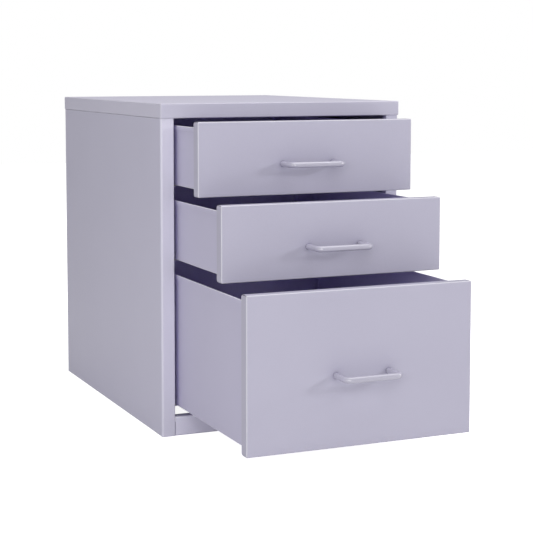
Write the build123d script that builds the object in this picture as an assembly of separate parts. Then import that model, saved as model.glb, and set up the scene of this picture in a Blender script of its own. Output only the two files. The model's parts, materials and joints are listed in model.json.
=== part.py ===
"""Steel pedestal cabinet with three drawers, standing partly open.

Millimetres, +X to the right, +Y to the back, +Z up. The origin lies on the floor, in the
middle of the front rail's foot. Each drawer is drawn at its rest position, pulled out by
one, two or three steps from closed.
"""

import os

from build123d import *

# ---------------------------------------------------------------- driving dimensions
WIDTH = 398.0
DEPTH = 520.0
HEIGHT = 500.0
SHEET = 1.0             # carcass and drawer fronts
THIN = 0.8              # trays, liners and back panel
RUNNER_SHEET = 1.2
STILE_BEND = 2.5        # inside radius of the front post's outer corner
BEND = 1.2              # inside radius of the other carcass folds
EDGE_BEND = 0.4         # inside radius of the tight folds beside the lid
THIN_BEND = 0.7         # inside radius of the folds in thin sheet

TOP_SKIRT = 22.0        # depth of the top panel's edge
TOP_LIP = 13.0          # lip folded in under the skirt
TOP_EDGE = 1.6          # outer radius round the lid
TOP_OVERHANG = 2.2      # top panel's front edge ahead of the stiles
SIDE_INSET = 0.3        # side panels inside the top panel's ends

STILE_WIDTH = 21.0      # front post folded from each side panel
STILE_RETURN = 11.0
SIDE_FLANGE = 17.0      # inward folds along a side panel's top, bottom and rear

RAIL_HEIGHT = 29.0
RAIL_FOOT = 17.0        # depth of a rail's flanges
RAIL_END_GAP = 0.3

STEP_OUT = 88.7         # each drawer stands this much further out than the one above
STEPS = {"top": 1, "middle": 2, "bottom": 3}
FRONT_SPAN = {"top": (367.0, 475.2), "middle": (255.4, 363.3), "bottom": (32.2, 251.5)}
FLOOR_LIFT = {"top": 10.7, "middle": 10.4, "bottom": 11.6}   # tray floor above the front's foot
FRONT_WIDTH = 347.0
FRONT_DEPTH = 18.7
FRONT_EDGE = 1.7        # outer radius round the drawer front
FRONT_REAR_EDGE = 4.5   # outer radius of its upper and lower rear edges
FRONT_LIP = 10.0        # rear lip folded in round the drawer front
FRONT_SEAM = 0.9        # open seam between neighbouring walls at the front's corners
SEAM_START = 1.4        # face to the end of the seam
RIM_DROP = 8.0          # tray rim below the front's upper edge

TRAY_WIDTH = 343.0
TRAY_LENGTH = 508.0     # face of the drawer front to the rear of the tray
TRAY_FLANGE = 12.0      # tray flange screwed to the drawer front
HEM = 7.0               # height of the fold along the tray's rim
HEM_GAP = 0.5
SLOT_FROM_FACE = (411.0, 430.0)   # divider slots in the tray walls
SLOT_DROP = 24.0
SLOT_SIZE = (1.6, 6.0)

HANDLE_PITCH = 81.4
HANDLE_ROD = 8.8
HANDLE_REACH = 35.0     # face of the drawer front to the middle of the bar
HANDLE_BEND = 7.0
HANDLE_DROP = 8.7       # bar below the middle of the front
HANDLE_SCREW_DEPTH = 12.0

ROLLER_RADIUS = 13.5
ROLLER_WIDTH = 9.0
ROLLER_FROM_FACE = 485.0
HUB_RADIUS = 6.0
AXLE_RADIUS = 3.0
WHEEL_X = 177.0         # inner face of a roller's tread
RIVET_RADIUS = 1.6
TRAVEL = 390.0          # closed to fully open

RUNNER_RISE = 28.0      # upper flange above the tray floor
LEDGE_INNER = 166.0     # inner edge of a runner's ledge
RETAINER_INNER = 176.5  # inner edge of a runner's upper flange
RUNNER_BEND = 1.2
PAD_SIZE = (9.5, 30.0, 1.5)
GLIDE_GAP = 0.3         # tray floor above its glide pads
STOP_SIZE = (11.0, 1.2, 9.0)

CASTOR_BORE = 3.4       # wall radius of the M8 thread
CASTOR_PLATE = 58.0
CASTOR_PLATE_SHEET = 2.5
CASTOR_INSET = 36.0     # thread from the outer faces
NUT_ACROSS = 13.0
NUT_HEIGHT = 6.5

# ---------------------------------------------------------------- places that follow
FRONT = -RAIL_FOOT / 2                  # plane of the stiles and of a closed drawer's face
TOP_FRONT = FRONT - TOP_OVERHANG
BACK = TOP_FRONT + DEPTH
MIDDLE_Y = (TOP_FRONT + BACK) / 2
SKIRT_BOTTOM = HEIGHT - TOP_SKIRT
SIDE_X = WIDTH / 2 - SIDE_INSET         # outer face of a side panel
OPENING_X = SIDE_X - STILE_WIDTH        # inner edge of a stile
SIDE_BACK = BACK - TOP_OVERHANG
PANEL_BACK = SIDE_BACK - SHEET          # rear face of the back panel
PANEL_FRONT = PANEL_BACK - THIN
RUNNER_START = FRONT + FRONT_DEPTH + 1.0
RUNNER_END = PANEL_FRONT - 2.0
TRAY_X = TRAY_WIDTH / 2
TRAY_INNER = TRAY_X - THIN
CLOSED_TRAY_BACK = FRONT + TRAY_LENGTH
STOP_GAP = 0.8
STOP_Y = FRONT + ROLLER_FROM_FACE - TRAVEL - ROLLER_RADIUS - STOP_SIZE[1] - STOP_GAP
M4 = 2.0                                # shank radius
CLEAR = 0.05                            # radial clearance of a screw or pin in its hole
SCREW_X = SIDE_X - 9.0                  # screws through the side panels' flanges
BACK_SCREW_HEIGHTS = (60.0, 240.0, 420.0)
LID_SCREW_DEPTHS = (60.0, BACK - 70.0)

SIGNS = {"left": -1, "right": 1}
FLAT = (Align.CENTER, Align.CENTER, Align.MIN)


# ---------------------------------------------------------------- general shapes
def save(shape, node):
    """Writes one node, a solid or a list of separate solids."""
    whole = Compound(children=shape) if isinstance(shape, list) else shape
    export_step(whole, f"parts/{node}.step")


def block(x0, x1, y0, y1, z0, z1):
    """Box between two corners."""
    size = (abs(x1 - x0), abs(y1 - y0), abs(z1 - z0))
    return Pos((x0 + x1) / 2, (y0 + y1) / 2, (z0 + z1) / 2) * Box(*size)


def rod(start, axis, radius, length):
    """Cylinder from a point along an axis."""
    return Plane(origin=start, z_dir=axis) * Cylinder(radius, length, align=FLAT)


def hand(shape, side):
    """The shape as drawn for the right-hand side, or its mirror image."""
    return shape if SIGNS[side] > 0 else mirror(shape, about=Plane.YZ)


def folded(points, thickness, bends):
    """Section of a folded sheet with inside radii at its corners.

    The points are the sheet's left face, walked from end to end.
    """
    path = [Vector(*point) for point in points]
    runs = [(b - a).normalized() for a, b in zip(path, path[1:])]
    normals = [Vector(run.Y, -run.X) for run in runs]
    other = [path[0] + normals[0] * thickness]
    left_radii = []
    right_radii = []
    for corner, before, after, bend in zip(path[1:-1], normals, normals[1:], bends):
        other.append(corner + (before + after) * (thickness / (1 + before.dot(after))))
        turns_left = before.cross(after).Z > 0
        left_radii.append(bend if turns_left else bend + thickness)
        right_radii.append(bend + thickness if turns_left else bend)
    other.append(path[-1] + normals[-1] * thickness)
    left = FilletPolyline(*path, radius=left_radii)
    right = FilletPolyline(*other, radius=right_radii)
    ends = [Line(path[-1], other[-1]), Line(other[0], path[0])]
    return make_face([*left.edges(), *right.edges(), *ends])


def along_y(section, y0, y1):
    """Extrudes a section drawn in X and Z."""
    plane = Plane(origin=(0, y0, 0), x_dir=(1, 0, 0), z_dir=(0, -1, 0))
    return extrude(plane * section, -(y1 - y0))


def along_x(section, half_length):
    """Extrudes a section drawn in Y and Z, to both sides of the middle."""
    plane = Plane(origin=(0, 0, 0), x_dir=(0, 1, 0), z_dir=(1, 0, 0))
    return extrude(plane * section, half_length, both=True)


def lipped_pan(width, height, depth, lip, edge, rear_edge):
    """Sheet pan on its face at z = 0, its four walls up and a lip folded in round the top."""

    def skin(inset):
        size = (width - 2 * inset, height - 2 * inset, depth - 2 * inset)
        body = Pos(0, 0, inset) * Box(*size, align=FLAT)
        if rear_edge > edge:
            rear = body.faces().sort_by(Axis.Z)[-1].edges().filter_by(Axis.X)
            body = fillet(rear, rear_edge - inset)
            rounded = body.edges().filter_by(Axis.X).group_by(Axis.Z)[1:]
            kept = [line for level in rounded for line in level]
        else:
            kept = []
        return fillet([line for line in body.edges() if line not in kept], edge - inset)

    mouth = Box(width - 2 * lip, height - 2 * lip, depth, align=FLAT)
    return skin(0) - skin(SHEET) - Pos(0, 0, depth / 2) * mouth


def screw(seat, axis, radius, length, head_radius, head_height):
    """Pan-head screw: its head's underside is at the seat, its shank runs along the axis."""
    way = Vector(*axis)
    seat = Vector(*seat)
    head = rod(seat - way * head_height, axis, head_radius, head_height)
    rims = head.edges().filter_by(GeomType.CIRCLE)
    crown = max(rims, key=lambda rim: (rim.arc_center - seat).length)
    return fillet(crown, head_height * 0.55) + rod(seat, axis, radius, length)


# ---------------------------------------------------------------- carcass
def lid_screw_places():
    """Where the side panels' top flanges are screwed to the lid's lips."""
    return [(sign * SCREW_X, y) for sign in SIGNS.values() for y in LID_SCREW_DEPTHS]


def lid_screw_holes():
    start = SKIRT_BOTTOM - 2 * SHEET
    return [rod((x, y, start), (0, 0, 1), M4 + CLEAR, 4 * SHEET) for x, y in lid_screw_places()]


def back_screw_places():
    """Where the rear flanges are screwed to the back panel."""
    return [(sign * SCREW_X, z) for sign in SIGNS.values() for z in BACK_SCREW_HEIGHTS]


def back_screw_holes():
    start = SIDE_BACK - 4 * SHEET
    return [rod((x, start, z), (0, 1, 0), M4 + CLEAR, 6 * SHEET) for x, z in back_screw_places()]


def make_top_panel():
    """Pressed lid: flat top, four skirts and a lip folded in under each of them."""
    lid = lipped_pan(WIDTH, DEPTH, TOP_SKIRT, TOP_LIP, TOP_EDGE, TOP_EDGE)
    return Pos(0, MIDDLE_Y, HEIGHT) * Rot(180, 0, 0) * lid - lid_screw_holes()


def make_side_panel(side):
    """Side wall with its front post, rear flange, and flanges along the top and bottom."""
    plan = [
        (SIDE_X - SIDE_FLANGE, SIDE_BACK),
        (SIDE_X, SIDE_BACK),
        (SIDE_X, FRONT),
        (OPENING_X, FRONT),
        (OPENING_X, FRONT + STILE_RETURN),
    ]
    fold = SHEET + EDGE_BEND
    y0 = FRONT + SHEET + STILE_BEND
    y1 = SIDE_BACK - SHEET - BEND
    walls = extrude(folded(plan, SHEET, [BEND, STILE_BEND, EDGE_BEND]), SKIRT_BOTTOM)
    for low in (0, SKIRT_BOTTOM - fold):
        walls -= block(SIDE_X - fold, SIDE_X, y0, y1, low, low + fold)
    section = [
        (SIDE_X - SIDE_FLANGE, SKIRT_BOTTOM),
        (SIDE_X, SKIRT_BOTTOM),
        (SIDE_X, 0),
        (SIDE_X - SIDE_FLANGE, 0),
    ]
    walls += along_y(folded(section, SHEET, [EDGE_BEND, EDGE_BEND]), y0, y1)
    return hand(walls, side) - lid_screw_holes() - back_screw_holes()


def make_rail(face_y, inward):
    """Channel across the foot of the carcass, its open side facing into the cabinet."""
    foot_y = face_y + inward * RAIL_FOOT
    section = [(foot_y, 0), (face_y, 0), (face_y, RAIL_HEIGHT), (foot_y, RAIL_HEIGHT)]
    if inward < 0:
        section.reverse()
    return along_x(folded(section, SHEET, [BEND, BEND]), OPENING_X - RAIL_END_GAP)


def make_back_panel():
    """Flat sheet inside the rear flanges, its head folded forward for stiffness."""
    head = SKIRT_BOTTOM - 2 * SHEET
    section = [(PANEL_BACK - 12, head), (PANEL_BACK, head), (PANEL_BACK, SHEET + 0.5)]
    panel = along_x(folded(section, THIN, [THIN_BEND]), SIDE_X - SHEET - BEND - 0.2)
    return panel - back_screw_holes()


def floor_of(drawer):
    """Underside of a drawer's tray."""
    return FRONT_SPAN[drawer][0] + FLOOR_LIFT[drawer]


def ledge_of(drawer):
    """Upper face of the runners' ledges."""
    return floor_of(drawer) - GLIDE_GAP - PAD_SIZE[2]


def make_runner(drawer, side):
    """Channel that carries one edge of a drawer, with a lug that stops the roller in front."""
    web_x = SIDE_X - SHEET
    foot = ledge_of(drawer) - RUNNER_SHEET
    head = floor_of(drawer) + RUNNER_RISE
    section = [(RETAINER_INNER, head), (web_x, head), (web_x, foot), (LEDGE_INNER, foot)]
    section = folded(section, RUNNER_SHEET, [RUNNER_BEND, RUNNER_BEND])
    width, thickness, drop = STOP_SIZE
    lug_x = RETAINER_INNER + 1.5
    lug_top = head - RUNNER_SHEET / 2
    lug = block(lug_x, lug_x + width, STOP_Y, STOP_Y + thickness, lug_top - drop, lug_top)
    return hand(along_y(section, RUNNER_START, RUNNER_END) + lug, side)


def glide_pads():
    """Nylon strips on the front ends of the six ledges, under the trays' edges."""
    pads = []
    width, length, thickness = PAD_SIZE
    x0 = LEDGE_INNER + 0.5
    y0 = RUNNER_START + 1.0
    for drawer in STEPS:
        ledge = ledge_of(drawer)
        pad = block(x0, x0 + width, y0, y0 + length, ledge, ledge + thickness)
        ends = pad.faces().sort_by(Axis.Z)[-1].edges().filter_by(Axis.X)
        pad = chamfer(ends, thickness / 2)
        pads += [hand(pad, side) for side in SIGNS]
    return pads


def rear_buffers():
    """Rubber stops on the back panel that meet the trays as they close."""
    stops = []
    length = PANEL_FRONT - CLOSED_TRAY_BACK - 0.3
    for drawer in STEPS:
        for sign in SIGNS.values():
            seat = (sign * 120.0, PANEL_FRONT, floor_of(drawer) + 50)
            stop = rod(seat, (0, -1, 0), 8.0, length)
            stops.append(fillet(stop.faces().sort_by(Axis.Y)[0].edges(), 1.5))
    return stops


def castor_places():
    """Vertical axes of the four castor threads."""
    x = SIDE_X - CASTOR_INSET
    front = FRONT + CASTOR_INSET
    rear = SIDE_BACK - CASTOR_INSET
    return {
        "front_left": (-x, front),
        "front_right": (x, front),
        "rear_left": (-x, rear),
        "rear_right": (x, rear),
    }


def make_corner_plate(place):
    """Plate on a side panel's bottom flange and a rail's foot, bored for a castor stem."""
    x, y = castor_places()[place]
    side_x = SIDE_X - SHEET - EDGE_BEND - 0.5
    front = FRONT + STILE_RETURN + 0.5
    rear = PANEL_FRONT - SHEET - BEND - 0.3
    y0 = front if place.startswith("front") else rear - CASTOR_PLATE
    across = (side_x - CASTOR_PLATE, side_x) if x > 0 else (CASTOR_PLATE - side_x, -side_x)
    plate = block(*across, y0, y0 + CASTOR_PLATE, SHEET, SHEET + CASTOR_PLATE_SHEET)
    plate = fillet(plate.edges().filter_by(Axis.Z), 4.0)
    return plate - rod((x, y, 0), (0, 0, 1), CASTOR_BORE, 10)


def weld_nuts():
    """M8 nuts on the corner plates."""
    base = SHEET + CASTOR_PLATE_SHEET
    hexagon = RegularPolygon(NUT_ACROSS / 2, 6, major_radius=False) - Circle(CASTOR_BORE)
    nut = extrude(hexagon, NUT_HEIGHT)
    return [Pos(x, y, base) * nut for x, y in castor_places().values()]


def lid_screws():
    """Screws from inside the cabinet up through the side flanges into the lid's lips."""
    seat = SKIRT_BOTTOM - SHEET
    return [screw((x, y, seat), (0, 0, 1), M4, 7.0, 3.8, 2.2) for x, y in lid_screw_places()]


def back_screws():
    """Screws through the rear flanges into the back panel, heads outside."""
    return [screw((x, SIDE_BACK, z), (0, -1, 0), M4, 6.0, 3.8, 2.0) for x, z in back_screw_places()]


# ---------------------------------------------------------------- drawers
def face_of(drawer):
    """Plane of a drawer front's face at rest."""
    return FRONT - STEP_OUT * STEPS[drawer]


def rim_of(drawer):
    """Upper edge of a drawer's tray."""
    return FRONT_SPAN[drawer][1] - RIM_DROP


def handle_height(drawer):
    low, high = FRONT_SPAN[drawer]
    return (low + high) / 2 - HANDLE_DROP


def handle_legs(drawer):
    """Where the handle's two legs meet the drawer front."""
    z = handle_height(drawer)
    return [(sign * HANDLE_PITCH / 2, face_of(drawer), z) for sign in SIGNS.values()]


def front_holes(drawer):
    """Clearance holes through the drawer front for the handle's and the tray's screws."""
    holes = [rod(leg, (0, 1, 0), M4 + CLEAR, FRONT_DEPTH) for leg in handle_legs(drawer)]
    start = face_of(drawer) + FRONT_DEPTH / 2
    for x, z in front_screw_places(drawer):
        holes.append(rod((x, start, z), (0, 1, 0), M4 + CLEAR, FRONT_DEPTH))
    return holes


def front_screw_places(drawer):
    """Where the tray's front flanges are screwed to the drawer front."""
    heights = (floor_of(drawer) + 22, rim_of(drawer) - 22)
    return [(sign * (TRAY_X - 5.4), z) for sign in SIGNS.values() for z in heights]


def corner_seams(width, height):
    """Mitred cuts from a drawer front's corners through its walls and lip."""
    seams = []
    for x, y, angle in ((1, 1, 45), (-1, 1, 135), (-1, -1, 225), (1, -1, 315)):
        cut = Box(4 * FRONT_LIP, FRONT_SEAM, FRONT_DEPTH, align=FLAT)
        seams.append(Pos(x * width / 2, y * height / 2, SEAM_START) * Rot(0, 0, angle) * cut)
    return seams


def make_front_pan(drawer):
    """Drawer front: flat face, four walls and a lip round the rear."""
    low, high = FRONT_SPAN[drawer]
    pan = lipped_pan(FRONT_WIDTH, high - low, FRONT_DEPTH, FRONT_LIP, FRONT_EDGE, FRONT_REAR_EDGE)
    pan -= corner_seams(FRONT_WIDTH, high - low)
    origin = (0, face_of(drawer), (low + high) / 2)
    return Plane(origin=origin, x_dir=(-1, 0, 0), z_dir=(0, 1, 0)) * pan - front_holes(drawer)


def make_front_liner(drawer):
    """Sheet that closes the drawer front, held inside its rear lip."""
    low, high = FRONT_SPAN[drawer]
    back = face_of(drawer) + FRONT_DEPTH - SHEET
    half = FRONT_WIDTH / 2 - FRONT_EDGE - SHEET
    liner = block(-half, half, back - THIN, back, low + FRONT_REAR_EDGE, high - FRONT_REAR_EDGE)
    return fillet(liner.edges().filter_by(Axis.Y), 1.5) - front_holes(drawer)


def axle_place(drawer):
    """Centre of a drawer's two rollers, in the side view."""
    return face_of(drawer) + ROLLER_FROM_FACE, ledge_of(drawer) + GLIDE_GAP + ROLLER_RADIUS


def tray_rivets(drawer):
    """Where the back wall's side flanges are riveted to the tray, in the side view."""
    y = face_of(drawer) + TRAY_LENGTH - 6.5
    return [(y, floor_of(drawer) + 32), (y, rim_of(drawer) - 18)]


def wall_holes(drawer):
    """Slots, axle holes and rivet holes through both walls of a tray."""
    width, height = SLOT_SIZE
    top = rim_of(drawer) - SLOT_DROP
    reach = TRAY_X + 1
    holes = []
    for distance in SLOT_FROM_FACE:
        y = face_of(drawer) + distance
        holes.append(block(-reach, reach, y - width / 2, y + width / 2, top - height, top))
    holes.append(rod((-reach, *axle_place(drawer)), (1, 0, 0), AXLE_RADIUS + CLEAR, 2 * reach))
    for y, z in tray_rivets(drawer):
        holes.append(rod((-reach, y, z), (1, 0, 0), RIVET_RADIUS + CLEAR, 2 * reach))
    return holes


def make_tray(drawer):
    """Floor and two walls from one sheet, hemmed outward at the rim and flanged in front."""
    floor = floor_of(drawer)
    rim = rim_of(drawer)
    y0 = face_of(drawer) + FRONT_DEPTH
    y1 = face_of(drawer) + TRAY_LENGTH
    hem_x = TRAY_X + HEM_GAP + THIN
    right = [(TRAY_INNER, floor + THIN), (TRAY_INNER, rim), (hem_x, rim), (hem_x, rim - HEM)]
    left = [(-x, z) for x, z in reversed(right)]
    hem_bend = HEM_GAP / 2 - 0.01
    bends = [hem_bend, hem_bend, THIN_BEND, THIN_BEND, hem_bend, hem_bend]
    tray = along_y(folded(left + right, THIN, bends), y0, y1)
    for sign in SIGNS.values():
        edge = sign * (TRAY_X - THIN / 2)
        inner = sign * (TRAY_X - TRAY_FLANGE)
        tray += block(edge, inner, y0, y0 + THIN, floor + THIN / 2, rim - 1.5)
    return tray - wall_holes(drawer) - front_holes(drawer)


def make_back_wall(drawer):
    """Rear wall of a tray, with flanges folded forward all round."""
    foot = floor_of(drawer) + THIN
    head = rim_of(drawer) - 0.5
    y = face_of(drawer) + TRAY_LENGTH - 0.2
    section = [(y - 10, head), (y, head), (y, foot), (y - 12, foot)]
    bends = [THIN_BEND, THIN_BEND]
    wall = along_x(folded(section, THIN, bends), TRAY_INNER - THIN_BEND - 0.1)
    for sign in SIGNS.values():
        outer = sign * TRAY_INNER
        wall += block(outer, outer - sign * THIN, y - 12, y, foot + 2, head - 2)
        wall += block(outer, outer - sign * 3, y - THIN, y, foot + 2, head - 2)
    return wall - wall_holes(drawer)


def make_handle(drawer):
    """Bent round rod, its two legs bored for screws from inside the drawer."""
    face = face_of(drawer)
    z = handle_height(drawer)
    half = HANDLE_PITCH / 2
    bar = face - HANDLE_REACH
    path = FilletPolyline(
        (-half, face, z), (-half, bar, z), (half, bar, z), (half, face, z), radius=HANDLE_BEND
    )
    section = Plane(origin=path @ 0, z_dir=path % 0) * Circle(HANDLE_ROD / 2)
    handle = sweep(section, path=path)
    bores = [rod(leg, (0, -1, 0), M4 + CLEAR, HANDLE_SCREW_DEPTH) for leg in handle_legs(drawer)]
    return handle - bores


def handle_screws(drawer):
    """Screws from inside the drawer, through its front and into the handle's legs."""
    reach = FRONT_DEPTH - SHEET
    length = reach + HANDLE_SCREW_DEPTH - 1
    return [
        screw((x, y + reach, z), (0, -1, 0), M4, length, 3.8, 2.4)
        for x, y, z in handle_legs(drawer)
    ]


def front_screws(drawer):
    """Screws from inside the drawer, through the tray's flanges into the front's lip."""
    seat = face_of(drawer) + FRONT_DEPTH + THIN
    return [screw((x, seat, z), (0, -1, 0), M4, 8.0, 3.6, 2.2) for x, z in front_screw_places(drawer)]


def back_rivets(drawer):
    """Blind rivets through the tray's walls and the back wall's flanges."""
    rivets = []
    grip = 2 * THIN
    for sign in SIGNS.values():
        for y, z in tray_rivets(drawer):
            rivet = screw((sign * TRAY_X, y, z), (-sign, 0, 0), RIVET_RADIUS, grip, 3.2, 1.0)
            rivet += rod((sign * (TRAY_X - grip), y, z), (-sign, 0, 0), RIVET_RADIUS + 0.7, 1.6)
            rivets.append(rivet)
    return rivets


def make_roller(drawer, side):
    """Nylon wheel with a hub that spaces it from the tray's wall."""
    y, z = axle_place(drawer)
    hub = rod((TRAY_X + 0.3, y, z), (1, 0, 0), HUB_RADIUS, WHEEL_X - TRAY_X)
    wheel = rod((WHEEL_X, y, z), (1, 0, 0), ROLLER_RADIUS, ROLLER_WIDTH)
    wheel = chamfer(wheel.edges().filter_by(GeomType.CIRCLE), 0.8)
    bore = rod((TRAY_X, y, z), (1, 0, 0), AXLE_RADIUS + CLEAR, 20)
    return hand(hub + wheel - bore, side)


def roller_axles(drawer):
    """Stepped pins riveted through the tray's walls, with a washer outside each roller."""
    y, z = axle_place(drawer)
    inner = rod((TRAY_INNER - 1.4, y, z), (1, 0, 0), 5.0, 1.4)
    washer_x = WHEEL_X + ROLLER_WIDTH + 0.3
    pin = rod((TRAY_INNER - 1.4, y, z), (1, 0, 0), AXLE_RADIUS, washer_x - TRAY_INNER + 2.7)
    washer = rod((washer_x, y, z), (1, 0, 0), 5.0, 1.3)
    axle = inner + pin + washer
    return [hand(axle, side) for side in SIGNS]


# ---------------------------------------------------------------- assembly
def main():
    os.makedirs("parts", exist_ok=True)
    save(make_top_panel(), "top_panel")
    save(make_back_panel(), "back_panel")
    save(make_rail(FRONT, 1), "front_rail")
    save(make_rail(PANEL_FRONT, -1), "rear_rail")
    save(glide_pads(), "glide_pads")
    save(rear_buffers(), "rear_buffers")
    save(weld_nuts(), "castor_nuts")
    save(lid_screws(), "lid_screws")
    save(back_screws(), "back_screws")
    for place in castor_places():
        save(make_corner_plate(place), f"corner_plate_{place}")
    for side in SIGNS:
        save(make_side_panel(side), f"side_panel_{side}")
    for drawer in STEPS:
        save(make_front_pan(drawer), f"{drawer}_front")
        save(make_front_liner(drawer), f"{drawer}_front_liner")
        save(make_tray(drawer), f"{drawer}_tray")
        save(make_back_wall(drawer), f"{drawer}_back_wall")
        save(make_handle(drawer), f"{drawer}_handle")
        save(handle_screws(drawer), f"{drawer}_handle_screws")
        save(front_screws(drawer), f"{drawer}_front_screws")
        save(back_rivets(drawer), f"{drawer}_back_rivets")
        save(roller_axles(drawer), f"{drawer}_roller_axles")
        for side in SIGNS:
            save(make_runner(drawer, side), f"{drawer}_runner_{side}")
            save(make_roller(drawer, side), f"{drawer}_roller_{side}")


main()
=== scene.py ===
import json
import math

import bmesh
import bpy
from mathutils import Matrix, Vector

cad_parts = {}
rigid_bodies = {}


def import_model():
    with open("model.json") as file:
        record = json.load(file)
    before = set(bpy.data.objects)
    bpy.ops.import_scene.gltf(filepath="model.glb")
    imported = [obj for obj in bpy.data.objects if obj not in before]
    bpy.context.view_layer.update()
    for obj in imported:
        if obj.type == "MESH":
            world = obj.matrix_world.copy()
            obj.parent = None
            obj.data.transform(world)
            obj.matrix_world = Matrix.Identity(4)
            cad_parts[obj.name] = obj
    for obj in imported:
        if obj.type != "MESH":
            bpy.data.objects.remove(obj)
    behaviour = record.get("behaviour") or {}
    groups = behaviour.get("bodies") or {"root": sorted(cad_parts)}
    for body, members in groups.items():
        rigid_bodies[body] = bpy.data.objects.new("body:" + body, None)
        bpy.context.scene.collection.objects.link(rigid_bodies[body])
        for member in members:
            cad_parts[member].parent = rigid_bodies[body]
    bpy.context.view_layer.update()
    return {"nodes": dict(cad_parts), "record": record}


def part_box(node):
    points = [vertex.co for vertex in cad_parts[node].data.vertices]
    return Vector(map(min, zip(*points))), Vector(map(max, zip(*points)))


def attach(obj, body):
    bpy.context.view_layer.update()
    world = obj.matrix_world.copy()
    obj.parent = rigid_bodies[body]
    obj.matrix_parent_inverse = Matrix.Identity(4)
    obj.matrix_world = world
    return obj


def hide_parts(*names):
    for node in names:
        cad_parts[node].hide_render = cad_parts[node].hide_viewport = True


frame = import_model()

MM = 0.001
DRAWERS = ("top", "middle", "bottom")
SIDES = {"left": -1, "right": 1}
SLOTS = {part["node"]: part["material_slot"] for part in frame["record"]["subparts"]}
BODIES = {node: piece.parent.name.split(":")[1] for node, piece in frame["nodes"].items()}


def srgb(red, green, blue):
    """Linear colour of an 8-bit screen colour."""

    def linear(value):
        value /= 255
        return value / 12.92 if value <= 0.04045 else ((value + 0.055) / 1.055) ** 2.4

    return (linear(red), linear(green), linear(blue), 1.0)


# ---------------------------------------------------------------- camera
FOCAL_LENGTH = 96.83        # for a sensor 36 mm wide
LENS_SHIFT = -0.15          # keeps the upright edges nearly parallel
CAMERA_PLACE = (-0.9005, -2.0061, 0.5537)
CAMERA_TIP = 4.77           # degrees below level
CAMERA_TURN = -23.59        # degrees from straight on


def make_camera():
    """A long lens from the front left, a little above the lid, tipped slightly down."""
    data = bpy.data.cameras.new("camera")
    data.lens = FOCAL_LENGTH
    data.sensor_width = 36.0
    data.shift_y = LENS_SHIFT
    camera = bpy.data.objects.new("camera", data)
    camera.location = CAMERA_PLACE
    camera.rotation_euler = (math.radians(90 - CAMERA_TIP), 0, math.radians(CAMERA_TURN))
    bpy.context.scene.collection.objects.link(camera)
    bpy.context.scene.camera = camera


# ---------------------------------------------------------------- node helpers
class Shader:
    """A new node material with its Principled shader, and short ways to add nodes to it."""

    def __init__(self, name):
        self.material = bpy.data.materials.new(name)
        self.material.use_nodes = True
        self.nodes = self.material.node_tree.nodes
        self.links = self.material.node_tree.links
        self.principled = self.nodes["Principled BSDF"]
        coordinates = self.nodes.new("ShaderNodeTexCoord").outputs
        self.place = coordinates["Object"]
        self.facing = coordinates["Normal"]

    def add(self, kind, inputs=None, **settings):
        """Adds a node; inputs maps a socket's name or number to a value or to another output."""
        node = self.nodes.new(kind)
        for key, value in settings.items():
            setattr(node, key, value)
        for key, value in (inputs or {}).items():
            self.set(node, key, value)
        return node

    def set(self, node, key, value):
        """Sets a socket to a value, or links it to another output."""
        if isinstance(value, bpy.types.NodeSocket):
            self.links.new(value, node.inputs[key])
        else:
            node.inputs[key].default_value = value

    def noise(self, scale, detail=3.0, stretch=(1, 1, 1)):
        """Noise over the object's own coordinates, from 0 to 1."""
        mapping = self.add("ShaderNodeMapping", {"Vector": self.place, "Scale": stretch})
        inputs = {"Vector": mapping.outputs[0], "Scale": scale, "Detail": detail}
        return self.add("ShaderNodeTexNoise", inputs).outputs["Fac"]

    def spread(self, value, low, high):
        """A 0 to 1 value mapped to another range."""
        inputs = {"Value": value, "To Min": low, "To Max": high}
        return self.add("ShaderNodeMapRange", inputs).outputs["Result"]

    def ramp(self, value, start, end):
        """Smooth step from 0 at start to 1 at end."""
        inputs = {"Value": value, "From Min": start, "From Max": end}
        node = self.add("ShaderNodeMapRange", inputs, interpolation_type="SMOOTHSTEP")
        return node.outputs["Result"]

    def math(self, operation, *values):
        """Result of a math node."""
        return self.add("ShaderNodeMath", dict(enumerate(values)), operation=operation).outputs[0]

    def open_space(self, reach):
        """How much of the space within reach of the surface is open, from 0 to 1."""
        node = self.add("ShaderNodeAmbientOcclusion", {"Distance": reach}, samples=10)
        return node.outputs["AO"]

    def blend(self, factor, first, second):
        """Colour between two colours."""
        node = self.add("ShaderNodeMix", data_type="RGBA")
        self.set(node, 0, factor)
        self.set(node, 6, first)
        self.set(node, 7, second)
        return node.outputs[2]

    def bump(self, heights):
        """Bump from (height, strength, distance) layers, each added over the last."""
        normal = None
        for height, strength, distance in heights:
            node = self.add("ShaderNodeBump", {"Height": height})
            node.inputs["Strength"].default_value = strength
            node.inputs["Distance"].default_value = distance
            if normal:
                self.links.new(normal, node.inputs["Normal"])
            normal = node.outputs["Normal"]
        self.links.new(normal, self.principled.inputs["Normal"])


# ---------------------------------------------------------------- materials
BLACK = (0.0, 0.0, 0.0, 1.0)
WHITE = (1.0, 1.0, 1.0, 1.0)
LILAC = srgb(182, 179, 198)
# painted light: the carcass paint set lighter than the fronts' lilac, a lit copy of the same paint
LIT_CABINET = srgb(200, 197, 217)
PAINTED_CARCASS_SHADE = srgb(188, 179, 230)        # painted shade: the colour the coat turns to deep in the carcass, where little light gets in
# painted shade inside the trays, where little light gets in
PAINTED_TRAY_SHADE = srgb(208, 201, 239)
# painted shadow on the right post, where the drawers block the light
PAINTED_POST_SHADOW = srgb(150, 145, 176)
PAINTED_SHADOW = srgb(104, 97, 134)          # painted shadow round the feet of a handle and in the hollows of a drawer front

SEAM_REACH = 4 * MM                 # a gap narrower than this reads as a seam and gets painted shade
# how far painted shade darkens a seam towards black
SEAM_SHADE = 0.55
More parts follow.
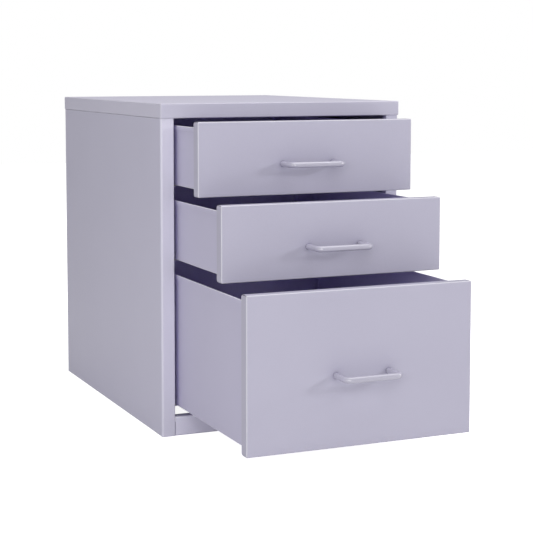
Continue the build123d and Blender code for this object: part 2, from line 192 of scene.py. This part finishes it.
# SQUARE and ROUNDED bound the painted highlight laid along folds.
SQUARE = 0.995                      # a face this square to the object's axes is flat sheet
ROUNDED = 0.88                      # and one this oblique is the middle of a fold
SHEEN = 0.42                        # specular level of a semi-matt coat
WET_SHEEN = 0.8
WET = 0.2                           # a coat with less roughness than this has a clear layer


def powder_coat(
    name, colour, reach, shut_in, roughness=0.36, fold_highlight=0.32, front_shading_colour=None, recess=PAINTED_CARCASS_SHADE
):
    """Powder coat: fine orange peel, faint cloudiness, and a painted highlight where it wraps a fold.

    The coat turns to a painted shade colour where less than shut_in of the space within reach is
    open, every seam gets painted shade, and forward faces may take painted light or shade of their own.
    """
    shader = Shader(name)
    cloud = shader.noise(9.0, 2.0)
    grain = shader.noise(900.0, 2.0)
    normal = shader.add("ShaderNodeSeparateXYZ", {"Vector": shader.facing}).outputs
    # painted light and shade: forward faces get a lighter or darker colour of their own, for how light
    # falls on them
    if front_shading_colour:
        front = shader.ramp(normal["Y"], -0.4, -0.9)
        colour = shader.blend(front, colour, front_shading_colour)
    shade = shader.blend(0.045, colour, BLACK)
    tint = shader.blend(0.035, colour, WHITE)
    paint = shader.blend(shader.spread(cloud, 0.1, 0.9), shade, tint)
    speck = shader.blend(shader.spread(grain, -1.2, 1.6), paint, tint)

    squareness = None
    for axis in "XYZ":
        size = shader.math("ABSOLUTE", normal[axis])
        squareness = shader.math("MAXIMUM", squareness, size) if squareness else size
    # painted highlight: lighter towards white where a face turns through a fold
    fold = shader.spread(shader.ramp(squareness, SQUARE, ROUNDED), 0.0, fold_highlight)
    fold_highlighted = shader.blend(fold, speck, WHITE)

    # painted shade: seams and narrow gaps between parts darker
    seam = shader.ramp(shader.open_space(SEAM_REACH), 0.25, 0.75)
    seam_shaded = shader.blend(seam, shader.blend(SEAM_SHADE, fold_highlighted, BLACK), fold_highlighted)
    # painted shade: the coat turns to the recess colour where little of the space within reach is open
    depth = shader.ramp(shader.open_space(reach), 0.0, shut_in)
    shader.set(shader.principled, "Base Color", shader.blend(depth, recess, seam_shaded))
    texture = shader.spread(grain, roughness - 0.05, roughness + 0.08)
    shader.set(shader.principled, "Roughness", texture)
    shader.set(shader.principled, "Specular IOR Level", WET_SHEEN if roughness < WET else SHEEN)
    if roughness < WET:
        shader.set(shader.principled, "Coat Weight", 1.0)
        shader.set(shader.principled, "Coat Roughness", 0.06)
    orange_peel = (shader.noise(620.0, 2.0), 0.16, 0.12 * MM)
    waviness = (shader.noise(150.0, 1.0), 0.10, 0.2 * MM)
    shader.bump([orange_peel, waviness])
    return shader.material


def zinc_plate(name):
    """Bright zinc plating: mottled, with fine drawn lines."""
    shader = Shader(name)
    mottle = shader.noise(260.0, 3.0)
    lines = shader.noise(180.0, 4.0, (9, 1, 1))
    colour = shader.blend(mottle, srgb(150, 153, 160), srgb(205, 208, 214))
    shader.set(shader.principled, "Base Color", colour)
    shader.set(shader.principled, "Metallic", 1.0)
    shader.set(shader.principled, "Roughness", shader.spread(mottle, 0.26, 0.44))
    shader.bump([(lines, 0.12, 0.1 * MM)])
    return shader.material


def moulded(name, colour, dirt, roughness, grain_scale):
    """Moulded plastic or rubber: fine grain, and greyed where it rubs."""
    shader = Shader(name)
    wear = shader.noise(70.0, 4.0)
    grain = shader.noise(grain_scale, 3.0)
    rubbed = shader.blend(shader.spread(wear, -0.2, 0.9), colour, dirt)
    shader.set(shader.principled, "Base Color", rubbed)
    texture = shader.spread(grain, roughness - 0.06, roughness + 0.1)
    shader.set(shader.principled, "Roughness", texture)
    shader.bump([(grain, 0.2, 0.12 * MM)])
    return shader.material


def make_materials():
    """One material for each finish in the record, by the name of its slot."""
    cabinet = powder_coat("cabinet_coat", LIT_CABINET, reach=0.30, shut_in=0.26)
    front = powder_coat("front_coat", LILAC, reach=0.05, shut_in=1.0, recess=PAINTED_SHADOW)
    # painted highlight strongest along the trays' folded hems
    tray = powder_coat(
        "tray_coat", srgb(192, 188, 212), reach=0.50, shut_in=0.40,
        roughness=0.40, fold_highlight=0.7, recess=PAINTED_TRAY_SHADE,
    )
    handle = powder_coat(
        "handle_coat", srgb(179, 176, 193), reach=0.006, shut_in=0.5,
        roughness=0.13, fold_highlight=0.0, recess=PAINTED_SHADOW,
    )
    roller = moulded(
        "roller_nylon", srgb(222, 221, 214), dirt=srgb(176, 174, 168), roughness=0.42, grain_scale=500.0
    )
    pad = moulded(
        "pad_nylon", srgb(206, 205, 200), dirt=srgb(168, 166, 160), roughness=0.38, grain_scale=500.0
    )
    buffer = moulded(
        "buffer_rubber", srgb(52, 50, 54), dirt=srgb(86, 83, 86), roughness=0.62, grain_scale=700.0
    )
    return {
        "cabinet_paint": cabinet,
        "front_paint": front,
        "tray_paint": tray,
        "handle_paint": handle,
        "zinc_steel": zinc_plate("zinc"),
        "roller_nylon": roller,
        "pad_nylon": pad,
        "buffer_rubber": buffer,
    }


def make_lit_copies():
    """Carcass panels with copies of the coat of their own, by node, each with painted light or shade for
    how light falls on it.
    """
    # painted light and shade: the lid lighter than the cabinet, its forward faces darker, and a faint
    # painted highlight on its folds
    lid = powder_coat(
        "lid_coat", srgb(204, 201, 218), reach=0.30, shut_in=0.26,
        roughness=0.74, fold_highlight=0.12, front_shading_colour=srgb(192, 189, 207),
    )
    # painted light: the left post's forward face lighter than the side, with less painted shade beside
    # the drawers
    left = powder_coat(
        "left_coat", LIT_CABINET, reach=0.30, shut_in=0.10, fold_highlight=0.1, front_shading_colour=srgb(212, 209, 226)
    )
    # painted shadow: the right post darkens further into the shade of the drawers
    right = powder_coat(
        "right_coat", LIT_CABINET, reach=0.30, shut_in=0.5, fold_highlight=0.1, recess=PAINTED_POST_SHADOW
    )
    # painted light: the rail lighter than the carcass, though the drawers shade it
    rail = powder_coat("rail_coat", srgb(225, 222, 239), reach=0.005, shut_in=0.5)
    return {
        "top_panel": lid,
        "side_panel_left": left,
        "side_panel_right": right,
        "front_rail": rail,
    }


MATERIALS = make_materials()


def paint_nodes():
    """Gives every CAD node its copy with painted light or shade, or else the material of its slot."""
    lit_copies = make_lit_copies()
    for node, piece in frame["nodes"].items():
        for slot in piece.material_slots:
            slot.material = lit_copies.get(node, MATERIALS[SLOTS[node]])


# ---------------------------------------------------------------- meshes
SMOOTH_ANGLE = math.radians(35.0)   # edges sharper than this stay sharp


def finished(name, fill, node):
    """Object from bmesh code that stands for a CAD node, with its body and finish."""
    mesh = bpy.data.meshes.new(name)
    sheet = bmesh.new()
    fill(sheet)
    bmesh.ops.remove_doubles(sheet, verts=sheet.verts, dist=1e-7)
    bmesh.ops.recalc_face_normals(sheet, faces=sheet.faces)
    sheet.to_mesh(mesh)
    sheet.free()
    mesh.shade_smooth()
    mesh.set_sharp_from_angle(angle=SMOOTH_ANGLE)
    mesh.materials.append(MATERIALS[SLOTS[node]])
    piece = bpy.data.objects.new(name, mesh)
    bpy.context.scene.collection.objects.link(piece)
    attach(piece, BODIES[node])
    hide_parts(node)


def islands(node):
    """Lowest and highest corners of each separate solid in a CAD node."""
    whole = bmesh.new()
    whole.from_mesh(frame["nodes"][node].data)
    bmesh.ops.remove_doubles(whole, verts=whole.verts, dist=1e-6)
    found = []
    seen = set()
    for start in whole.verts:
        if start in seen:
            continue
        group = [start]
        seen.add(start)
        for vert in group:
            for edge in vert.link_edges:
                other = edge.other_vert(vert)
                if other not in seen:
                    seen.add(other)
                    group.append(other)
        low = Vector(min(vert.co[axis] for vert in group) for axis in range(3))
        high = Vector(max(vert.co[axis] for vert in group) for axis in range(3))
        found.append((low, high))
    whole.free()
    return found


def turning(origin, axis):
    """Matrix that puts local Z along an axis from an origin."""
    turn = Vector(axis).to_track_quat("Z", "Y").to_matrix().to_4x4()
    return Matrix.Translation(Vector(origin)) @ turn


def ring_bands(sheet, rings, closed=False):
    """Quads between neighbouring rings of vertices, and from the last to the first if closed."""
    pairs = list(zip(rings, rings[1:]))
    if closed:
        pairs.append((rings[-1], rings[0]))
    for first, second in pairs:
        count = len(first)
        for i in range(count):
            j = (i + 1) % count
            sheet.faces.new((first[i], first[j], second[j], second[i]))


def turned(sheet, place, profile, sides=32, shape=None, closed=False, cap_start=True, cap_end=True):
    """Body of revolution from (radius, height) points; shape bends each point by its angle."""
    rings = []
    for radius, height in profile:
        ring = []
        for i in range(sides):
            angle = math.tau * i / sides
            r, z = shape(radius, height, angle) if shape else (radius, height)
            ring.append(sheet.verts.new(place @ Vector((r * math.cos(angle), r * math.sin(angle), z))))
        rings.append(ring)
    ring_bands(sheet, rings, closed)
    if not closed and cap_start:
        sheet.faces.new(rings[0])
    if not closed and cap_end:
        sheet.faces.new(rings[-1])


# ---------------------------------------------------------------- handles
HANDLE_BEND = 7.0 * MM      # centre-line radius of the rod's two bends
BEND_STEPS = 14
ROD_SIDES = 40


def handle_route(half, bar_y, face_y, z):
    """Centre line of a handle from left foot to right foot, as points and directions."""
    route = [(Vector((-half, face_y, z)), Vector((0, -1, 0)))]
    for sign in SIDES.values():
        centre = Vector((sign * (half - HANDLE_BEND), bar_y + HANDLE_BEND, z))
        for step in range(BEND_STEPS + 1):
            turn = math.radians(90 * step / BEND_STEPS)
            if sign > 0:
                turn = math.pi / 2 - turn
            spoke = Vector((sign * math.cos(turn), -math.sin(turn), 0))
            forward = Vector((math.sin(turn), sign * math.cos(turn), 0))
            route.append((centre + spoke * HANDLE_BEND, forward))
    route.append((Vector((half, face_y, z)), Vector((0, 1, 0))))
    return route


def make_handle(drawer):
    """Round rod bent twice, swept along its centre line."""
    node = f"{drawer}_handle"
    low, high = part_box(node)
    radius = (high.z - low.z) / 2
    half = (high.x - low.x) / 2 - radius
    route = handle_route(half, low.y + radius, high.y, (low.z + high.z) / 2)
    up = Vector((0, 0, 1))

    def build(sheet):
        rings = []
        for point, forward in route:
            across = forward.cross(up)
            ring = []
            for i in range(ROD_SIDES):
                angle = math.tau * i / ROD_SIDES
                spoke = across * math.cos(angle) + up * math.sin(angle)
                ring.append(sheet.verts.new(point + spoke * radius))
            rings.append(ring)
        ring_bands(sheet, rings)
        sheet.faces.new(rings[0])
        sheet.faces.new(rings[-1])

    finished(f"{drawer}_pull", build, node)


# ---------------------------------------------------------------- fasteners
RECESS_ARM = 1.9 * MM       # half length of a cross recess
RECESS_HALF_WIDTH = 0.42 * MM
RECESS_DEPTH = 1.1 * MM
SHANK_RADIUS = 2.0 * MM
THREAD_PITCH = 0.7 * MM
THREAD_DEPTH = 0.28 * MM
CROWN_BANDS = 22
HEAD_SIDES = 48

RIVET_BODY = 1.6 * MM
PIN_RADIUS = 3.0 * MM
PIN_HEAD = 1.4 * MM         # thickness of the pin's inner head
WASHER_FROM_TIP = 2.7 * MM

NUT_FLAT = 6.5 * MM         # middle to flat
NUT_BORE = 3.4 * MM


def crossed(radius, height, angle):
    """Sinks a point near the axis into a cross recess."""
    x = abs(radius * math.cos(angle))
    y = abs(radius * math.sin(angle))
    inside = min(x, y) < RECESS_HALF_WIDTH and max(x, y) < RECESS_ARM
    return radius, height + (RECESS_DEPTH if inside else 0.0)


def threaded(radius, height, angle):
    """Winds a screw thread round a shank."""
    turn = (height / THREAD_PITCH - angle / math.tau) % 1.0
    return radius - THREAD_DEPTH * abs(2 * turn - 1), height


def add_screw(sheet, place, head_radius, head_height, length):
    """Pan-head screw: crown at height 0, head's underside at head_height, shank beyond."""
    crown = []
    for i in range(CROWN_BANDS + 1):
        share = 0.02 + 0.98 * i / CROWN_BANDS
        rise = 0.5 * head_height * share ** 4
        crown.append((head_radius * share * (1 - 0.03 * share ** 6), rise))
    turned(sheet, place, crown, HEAD_SIDES, crossed, cap_end=False)
    skirt = [(head_radius * 0.97, 0.5 * head_height), (head_radius, 0.72 * head_height)]
    skirt += [(head_radius, 0.94 * head_height), (head_radius * 0.97, head_height)]
    skirt += [(SHANK_RADIUS, head_height)]
    turned(sheet, place, skirt, HEAD_SIDES, cap_start=False, cap_end=False)
    shank_length = length - head_height
    rings = max(8, int(4 * shank_length / THREAD_PITCH))
    shank = [(SHANK_RADIUS, head_height + shank_length * i / rings) for i in range(rings + 1)]
    turned(sheet, place, shank, 20, threaded, cap_start=False)


def make_screws(node, axis, head_height):
    """Screws that run along an axis, one for each separate solid of the node."""
    way = Vector(axis)

    def build(sheet):
        for low, high in islands(node):
            size = high - low
            length = abs(size.dot(way))
            across = size - way * size.dot(way)
            head = (low + high) / 2 - way * (length / 2)
            add_screw(sheet, turning(head, axis), max(across) / 2, head_height, length)

    finished(f"{node}_set", build, node)


def crosswise(low, high, inward):
    """Place, length and head radius of a pin across the cabinet, from its inner or outer end."""
    middle = (low + high) / 2
    side = 1 if middle.x > 0 else -1
    start = low.x if (side > 0) != inward else high.x
    place = turning((start, middle.y, middle.z), (-side if inward else side, 0, 0))
    return place, high.x - low.x, (high.y - low.y) / 2


def make_rivets(drawer):
    """Blind rivets with a dished head and the broken stem in its middle."""
    node = f"{drawer}_back_rivets"

    def build(sheet):
        for low, high in islands(node):
            place, length, head = crosswise(low, high, inward=True)
            profile = [(0.3 * MM, 0.25 * MM), (0.8 * MM, 0.2 * MM), (0.95 * MM, 0.45 * MM)]
            profile += [(1.2 * MM, 0.1 * MM), (1.7 * MM, 0), (head * 0.8, 0.25 * MM)]
            profile += [(head * 0.97, 0.7 * MM), (head, 1.0 * MM), (RIVET_BODY, 1.0 * MM)]
            profile += [(RIVET_BODY, length - 1.6 * MM), (2.3 * MM, length - 1.3 * MM)]
            profile += [(2.2 * MM, length - 0.4 * MM), (1.4 * MM, length), (0.3 * MM, length)]
            turned(sheet, place, profile, 32)

    finished(f"{drawer}_rivet_set", build, node)


def make_axles(drawer):
    """Stepped roller pins: a peened head inside the tray, a washer and a peened tip outside."""
    node = f"{drawer}_roller_axles"

    def build(sheet):
        for low, high in islands(node):
            place, length, head = crosswise(low, high, inward=False)
            washer = length - WASHER_FROM_TIP
            profile = [(0.6 * MM, 0.35 * MM), (1.2 * MM, 0), (head * 0.75, 0.05 * MM)]
            profile += [(head * 0.96, 0.4 * MM), (head, 1.0 * MM), (head * 0.97, PIN_HEAD)]
            profile += [(PIN_RADIUS, PIN_HEAD), (PIN_RADIUS, washer + 1.4 * MM)]
            profile += [(head * 0.96, washer + 1.4 * MM), (head, washer + 1.6 * MM)]
            profile += [(head, washer + 2.4 * MM), (head * 0.96, washer + WASHER_FROM_TIP)]
            profile += [(PIN_RADIUS, length), (0.8 * MM, length)]
            turned(sheet, place, profile, 40)

    finished(f"{drawer}_axle_set", build, node)


def make_nuts():
    """Hexagon weld nuts with chamfered corners."""
    node = "castor_nuts"
    corner = NUT_FLAT / math.cos(math.pi / 6)

    def hexed(radius, height, angle):
        """Trims all but the bore to a hexagon."""
        if radius <= NUT_BORE * 1.2:
            return radius, height
        turn = (angle + math.pi / 6) % (math.pi / 3) - math.pi / 6
        return min(radius, NUT_FLAT / math.cos(turn)), height

    def build(sheet):
        for low, high in islands(node):
            middle = (low + high) / 2
            height = high.z - low.z
            place = turning((middle.x, middle.y, low.z), (0, 0, 1))
            profile = [(NUT_BORE, 0), (NUT_BORE, height - 0.5 * MM), (NUT_BORE + 0.5 * MM, height)]
            profile += [(NUT_FLAT * 0.97, height), (corner, height - 0.6 * MM), (corner, 0.3 * MM)]
            profile += [(NUT_FLAT * 0.97, 0)]
            turned(sheet, place, profile, 72, hexed, closed=True)

    finished("castor_nut_set", build, node)


# ---------------------------------------------------------------- nylon and rubber
HUB_RADIUS = 6.0 * MM
WHEEL_BORE = 3.05 * MM
WHEEL_WIDTH = 9.0 * MM
WEB_DISH = 2.4 * MM         # depth of the web below the rim
RIBS = 6
PAD_COLUMNS = 26
PAD_ROWS = 24
PAD_GROOVE = 0.25 * MM


def make_roller(drawer, side):
    """Nylon wheel: crowned tread, dished web with six ribs, and a hub on the inner side."""
    node = f"{drawer}_roller_{side}"
    low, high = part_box(node)
    middle = (low + high) / 2
    sign = SIDES[side]
    inner = low.x if sign > 0 else high.x
    length = high.x - low.x
    rim = (high.z - low.z) / 2
    spacer = length - WHEEL_WIDTH
    web_edge = HUB_RADIUS * 1.05

    def ribbed(radius, height, angle):
        """Raises the dished web into ribs between the hub and the rim."""
        on_web = HUB_RADIUS * 1.02 < radius < rim * 0.83
        on_rib = abs(angle % (math.tau / RIBS) - math.tau / RIBS / 2) < math.radians(4)
        if on_web and on_rib:
            inner_face = height < spacer + 5 * MM
            height += -WEB_DISH * 0.6 if inner_face else WEB_DISH * 0.6
        return radius, height

    profile = [(WHEEL_BORE, 0), (HUB_RADIUS - 0.3 * MM, 0), (HUB_RADIUS, 0.3 * MM)]
    profile += [(HUB_RADIUS, spacer + WEB_DISH), (web_edge, spacer + WEB_DISH)]
    profile += [(rim * 0.80, spacer + WEB_DISH), (rim * 0.84, spacer + 0.2 * MM)]
    profile += [(rim - 0.8 * MM, spacer), (rim - 0.2 * MM, spacer + 0.6 * MM)]
    profile += [(rim, spacer + 2.5 * MM), (rim, length - 2.5 * MM)]
    profile += [(rim - 0.2 * MM, length - 0.6 * MM), (rim - 0.8 * MM, length)]
    profile += [(rim * 0.84, length - 0.2 * MM), (rim * 0.80, length - WEB_DISH)]
    profile += [(web_edge, length - WEB_DISH), (HUB_RADIUS, length - WEB_DISH)]
    profile += [(HUB_RADIUS, length - 0.3 * MM), (HUB_RADIUS - 0.3 * MM, length), (WHEEL_BORE, length)]

    def build(sheet):
        place = turning((inner, middle.y, middle.z), (sign, 0, 0))
        turned(sheet, place, profile, 90, ribbed, closed=True)

    finished(f"{drawer}_wheel_{side}_tyre", build, node)


def make_buffers():
    """Domed rubber buffers with two grooves round them."""
    node = "rear_buffers"
    edge = 1.5 * MM

    def build(sheet):
        for low, high in islands(node):
            middle = (low + high) / 2
            radius = (high.z - low.z) / 2
            length = high.y - low.y
            place = turning((middle.x, high.y, middle.z), (0, -1, 0))
            profile = [(1.6 * MM, 0), (radius, 0)]
            for groove in (0.3, 0.55):
                for offset, depth in ((-0.07, 0), (-0.04, 0.6), (0.04, 0.6), (0.07, 0)):
                    profile.append((radius - depth * MM, length * (groove + offset)))
            for turn in range(0, 91, 15):
                angle = math.radians(turn)
                out, along = edge * math.cos(angle), edge * math.sin(angle)
                profile.append((radius - edge + out, length - edge + along))
            profile += [(3.2 * MM, length), (2.6 * MM, length - 0.9 * MM), (0.4 * MM, length - 0.9 * MM)]
            turned(sheet, place, profile, 40)

    finished("rear_buffer_set", build, node)


def make_pads():
    """Nylon glide strips: ramped ends and shallow grease grooves along the top."""
    node = "glide_pads"

    def build(sheet):
        for low, high in islands(node):
            size = high - low
            grid = []
            for i in range(PAD_ROWS + 1):
                along = i / PAD_ROWS
                from_end = min(along, 1 - along) * size.y
                rise = min(1.0, 0.5 + from_end / (1.5 * MM))
                row = []
                for j in range(PAD_COLUMNS + 1):
                    grooved = j % 6 in (2, 3) and 0.1 < along < 0.9
                    z = low.z + size.z * rise - (PAD_GROOVE if grooved else 0.0)
                    x = low.x + size.x * j / PAD_COLUMNS
                    row.append(sheet.verts.new((x, low.y + size.y * along, z)))
                grid.append(row)
            for first, second in zip(grid, grid[1:]):
                for j in range(PAD_COLUMNS):
                    sheet.faces.new((first[j], first[j + 1], second[j + 1], second[j]))
            rim = grid[0] + [row[-1] for row in grid[1:]] + grid[-1][-2::-1]
            rim += [row[0] for row in grid[-2:0:-1]]
            foot = [sheet.verts.new((vert.co.x, vert.co.y, low.z)) for vert in rim]
            ring_bands(sheet, [rim, foot])
            sheet.faces.new(foot)

    finished("glide_pad_set", build, node)


def make_hardware():
    """Everything that stands for a plain CAD node; screws point along the axis given."""
    upward, forward = (0, 0, 1), (0, -1, 0)
    make_screws("lid_screws", upward, 2.2 * MM)
    make_screws("back_screws", forward, 2.0 * MM)
    make_nuts()
    make_buffers()
    make_pads()
    for drawer in DRAWERS:
        make_handle(drawer)
        make_screws(f"{drawer}_handle_screws", forward, 2.4 * MM)
        make_screws(f"{drawer}_front_screws", forward, 2.2 * MM)
        make_rivets(drawer)
        make_axles(drawer)
        for side in SIDES:
            make_roller(drawer, side)


# ---------------------------------------------------------------- studio
AMBIENT = 0.33              # strength of the white surroundings as a light
FLOOR_GLOW = 0.93           # what the floor adds to itself to look as bright as they do
FLOOR_DROP = 0.4 * MM       # floor below the cabinet's foot
MIDDLE = (0, 0.1, 0.25)

# name: place, aimed at, size and watts
LIGHTS = {
    "overhead": ((0.2, -0.3, 2.6), (0, 0.1, 0.4), (2.6, 2.4), 37),
    "key": ((-1.3, -2.7, 1.7), MIDDLE, (0.7, 0.7), 11),
    "low_front": ((-0.9, -2.7, 0.35), MIDDLE, (1.0, 0.5), 8),
    "right_spot": ((2.3, -2.2, 1.2), MIDDLE, (0.4, 0.4), 17),
    "left_spot": ((-1.9, -2.5, 0.95), MIDDLE, (0.45, 0.45), 9),
    "far_right": ((3.0, -0.9, 1.2), MIDDLE, (0.5, 0.5), 12),
    "left_edge": ((-2.6, -1.1, 0.7), MIDDLE, (1.0, 1.6), 10),
}


def make_surroundings():
    """White surroundings that light the object softly and show as plain white."""
    scene = bpy.context.scene
    scene.view_settings.view_transform = "Standard"
    world = bpy.data.worlds.new("studio")
    world.use_nodes = True
    nodes = world.node_tree.nodes
    links = world.node_tree.links
    background = nodes["Background"]
    background.inputs["Color"].default_value = WHITE
    background.inputs["Strength"].default_value = AMBIENT
    seen = nodes.new("ShaderNodeBackground")
    seen.inputs["Color"].default_value = WHITE
    seen.inputs["Strength"].default_value = 1.0
    path = nodes.new("ShaderNodeLightPath")
    mix = nodes.new("ShaderNodeMixShader")
    links.new(path.outputs["Is Camera Ray"], mix.inputs["Fac"])
    links.new(background.outputs["Background"], mix.inputs[1])
    links.new(seen.outputs["Background"], mix.inputs[2])
    links.new(mix.outputs["Shader"], nodes["World Output"].inputs["Surface"])
    scene.world = world


def make_floor():
    """Plain pale floor under the cabinet, as bright as the surroundings."""
    mesh = bpy.data.meshes.new("floor")
    sheet = bmesh.new()
    bmesh.ops.create_grid(sheet, x_segments=8, y_segments=8, size=6.0)
    sheet.to_mesh(mesh)
    sheet.free()
    floor = bpy.data.objects.new("floor", mesh)
    floor.location = (0, 0, -FLOOR_DROP)
    bpy.context.scene.collection.objects.link(floor)
    material = bpy.data.materials.new("pale_floor")
    material.use_nodes = True
    nodes = material.node_tree.nodes
    links = material.node_tree.links
    nodes.remove(nodes["Principled BSDF"])
    matt = nodes.new("ShaderNodeBsdfDiffuse")
    matt.inputs["Color"].default_value = (0.8, 0.8, 0.8, 1)
    glow = nodes.new("ShaderNodeEmission")
    glow.inputs["Color"].default_value = WHITE
    path = nodes.new("ShaderNodeLightPath")
    level = nodes.new("ShaderNodeMath")
    level.operation = "MULTIPLY"
    level.inputs[1].default_value = FLOOR_GLOW
    total = nodes.new("ShaderNodeAddShader")
    links.new(path.outputs["Is Camera Ray"], level.inputs[0])
    links.new(level.outputs[0], glow.inputs["Strength"])
    links.new(matt.outputs[0], total.inputs[0])
    links.new(glow.outputs[0], total.inputs[1])
    links.new(total.outputs[0], nodes["Material Output"].inputs["Surface"])
    mesh.materials.append(material)


def make_lights():
    """Soft boxes: over the lid, in front at the left, and smaller ones at both sides."""
    for name, (place, target, size, watts) in LIGHTS.items():
        data = bpy.data.lights.new(name, "AREA")
        data.shape = "RECTANGLE"
        data.size, data.size_y = size
        data.energy = watts
        light = bpy.data.objects.new(name, data)
        light.location = place
        light.rotation_euler = (Vector(target) - Vector(place)).to_track_quat("-Z", "Y").to_euler()
        bpy.context.scene.collection.objects.link(light)


make_camera()
paint_nodes()
make_hardware()
make_surroundings()
make_floor()
make_lights()
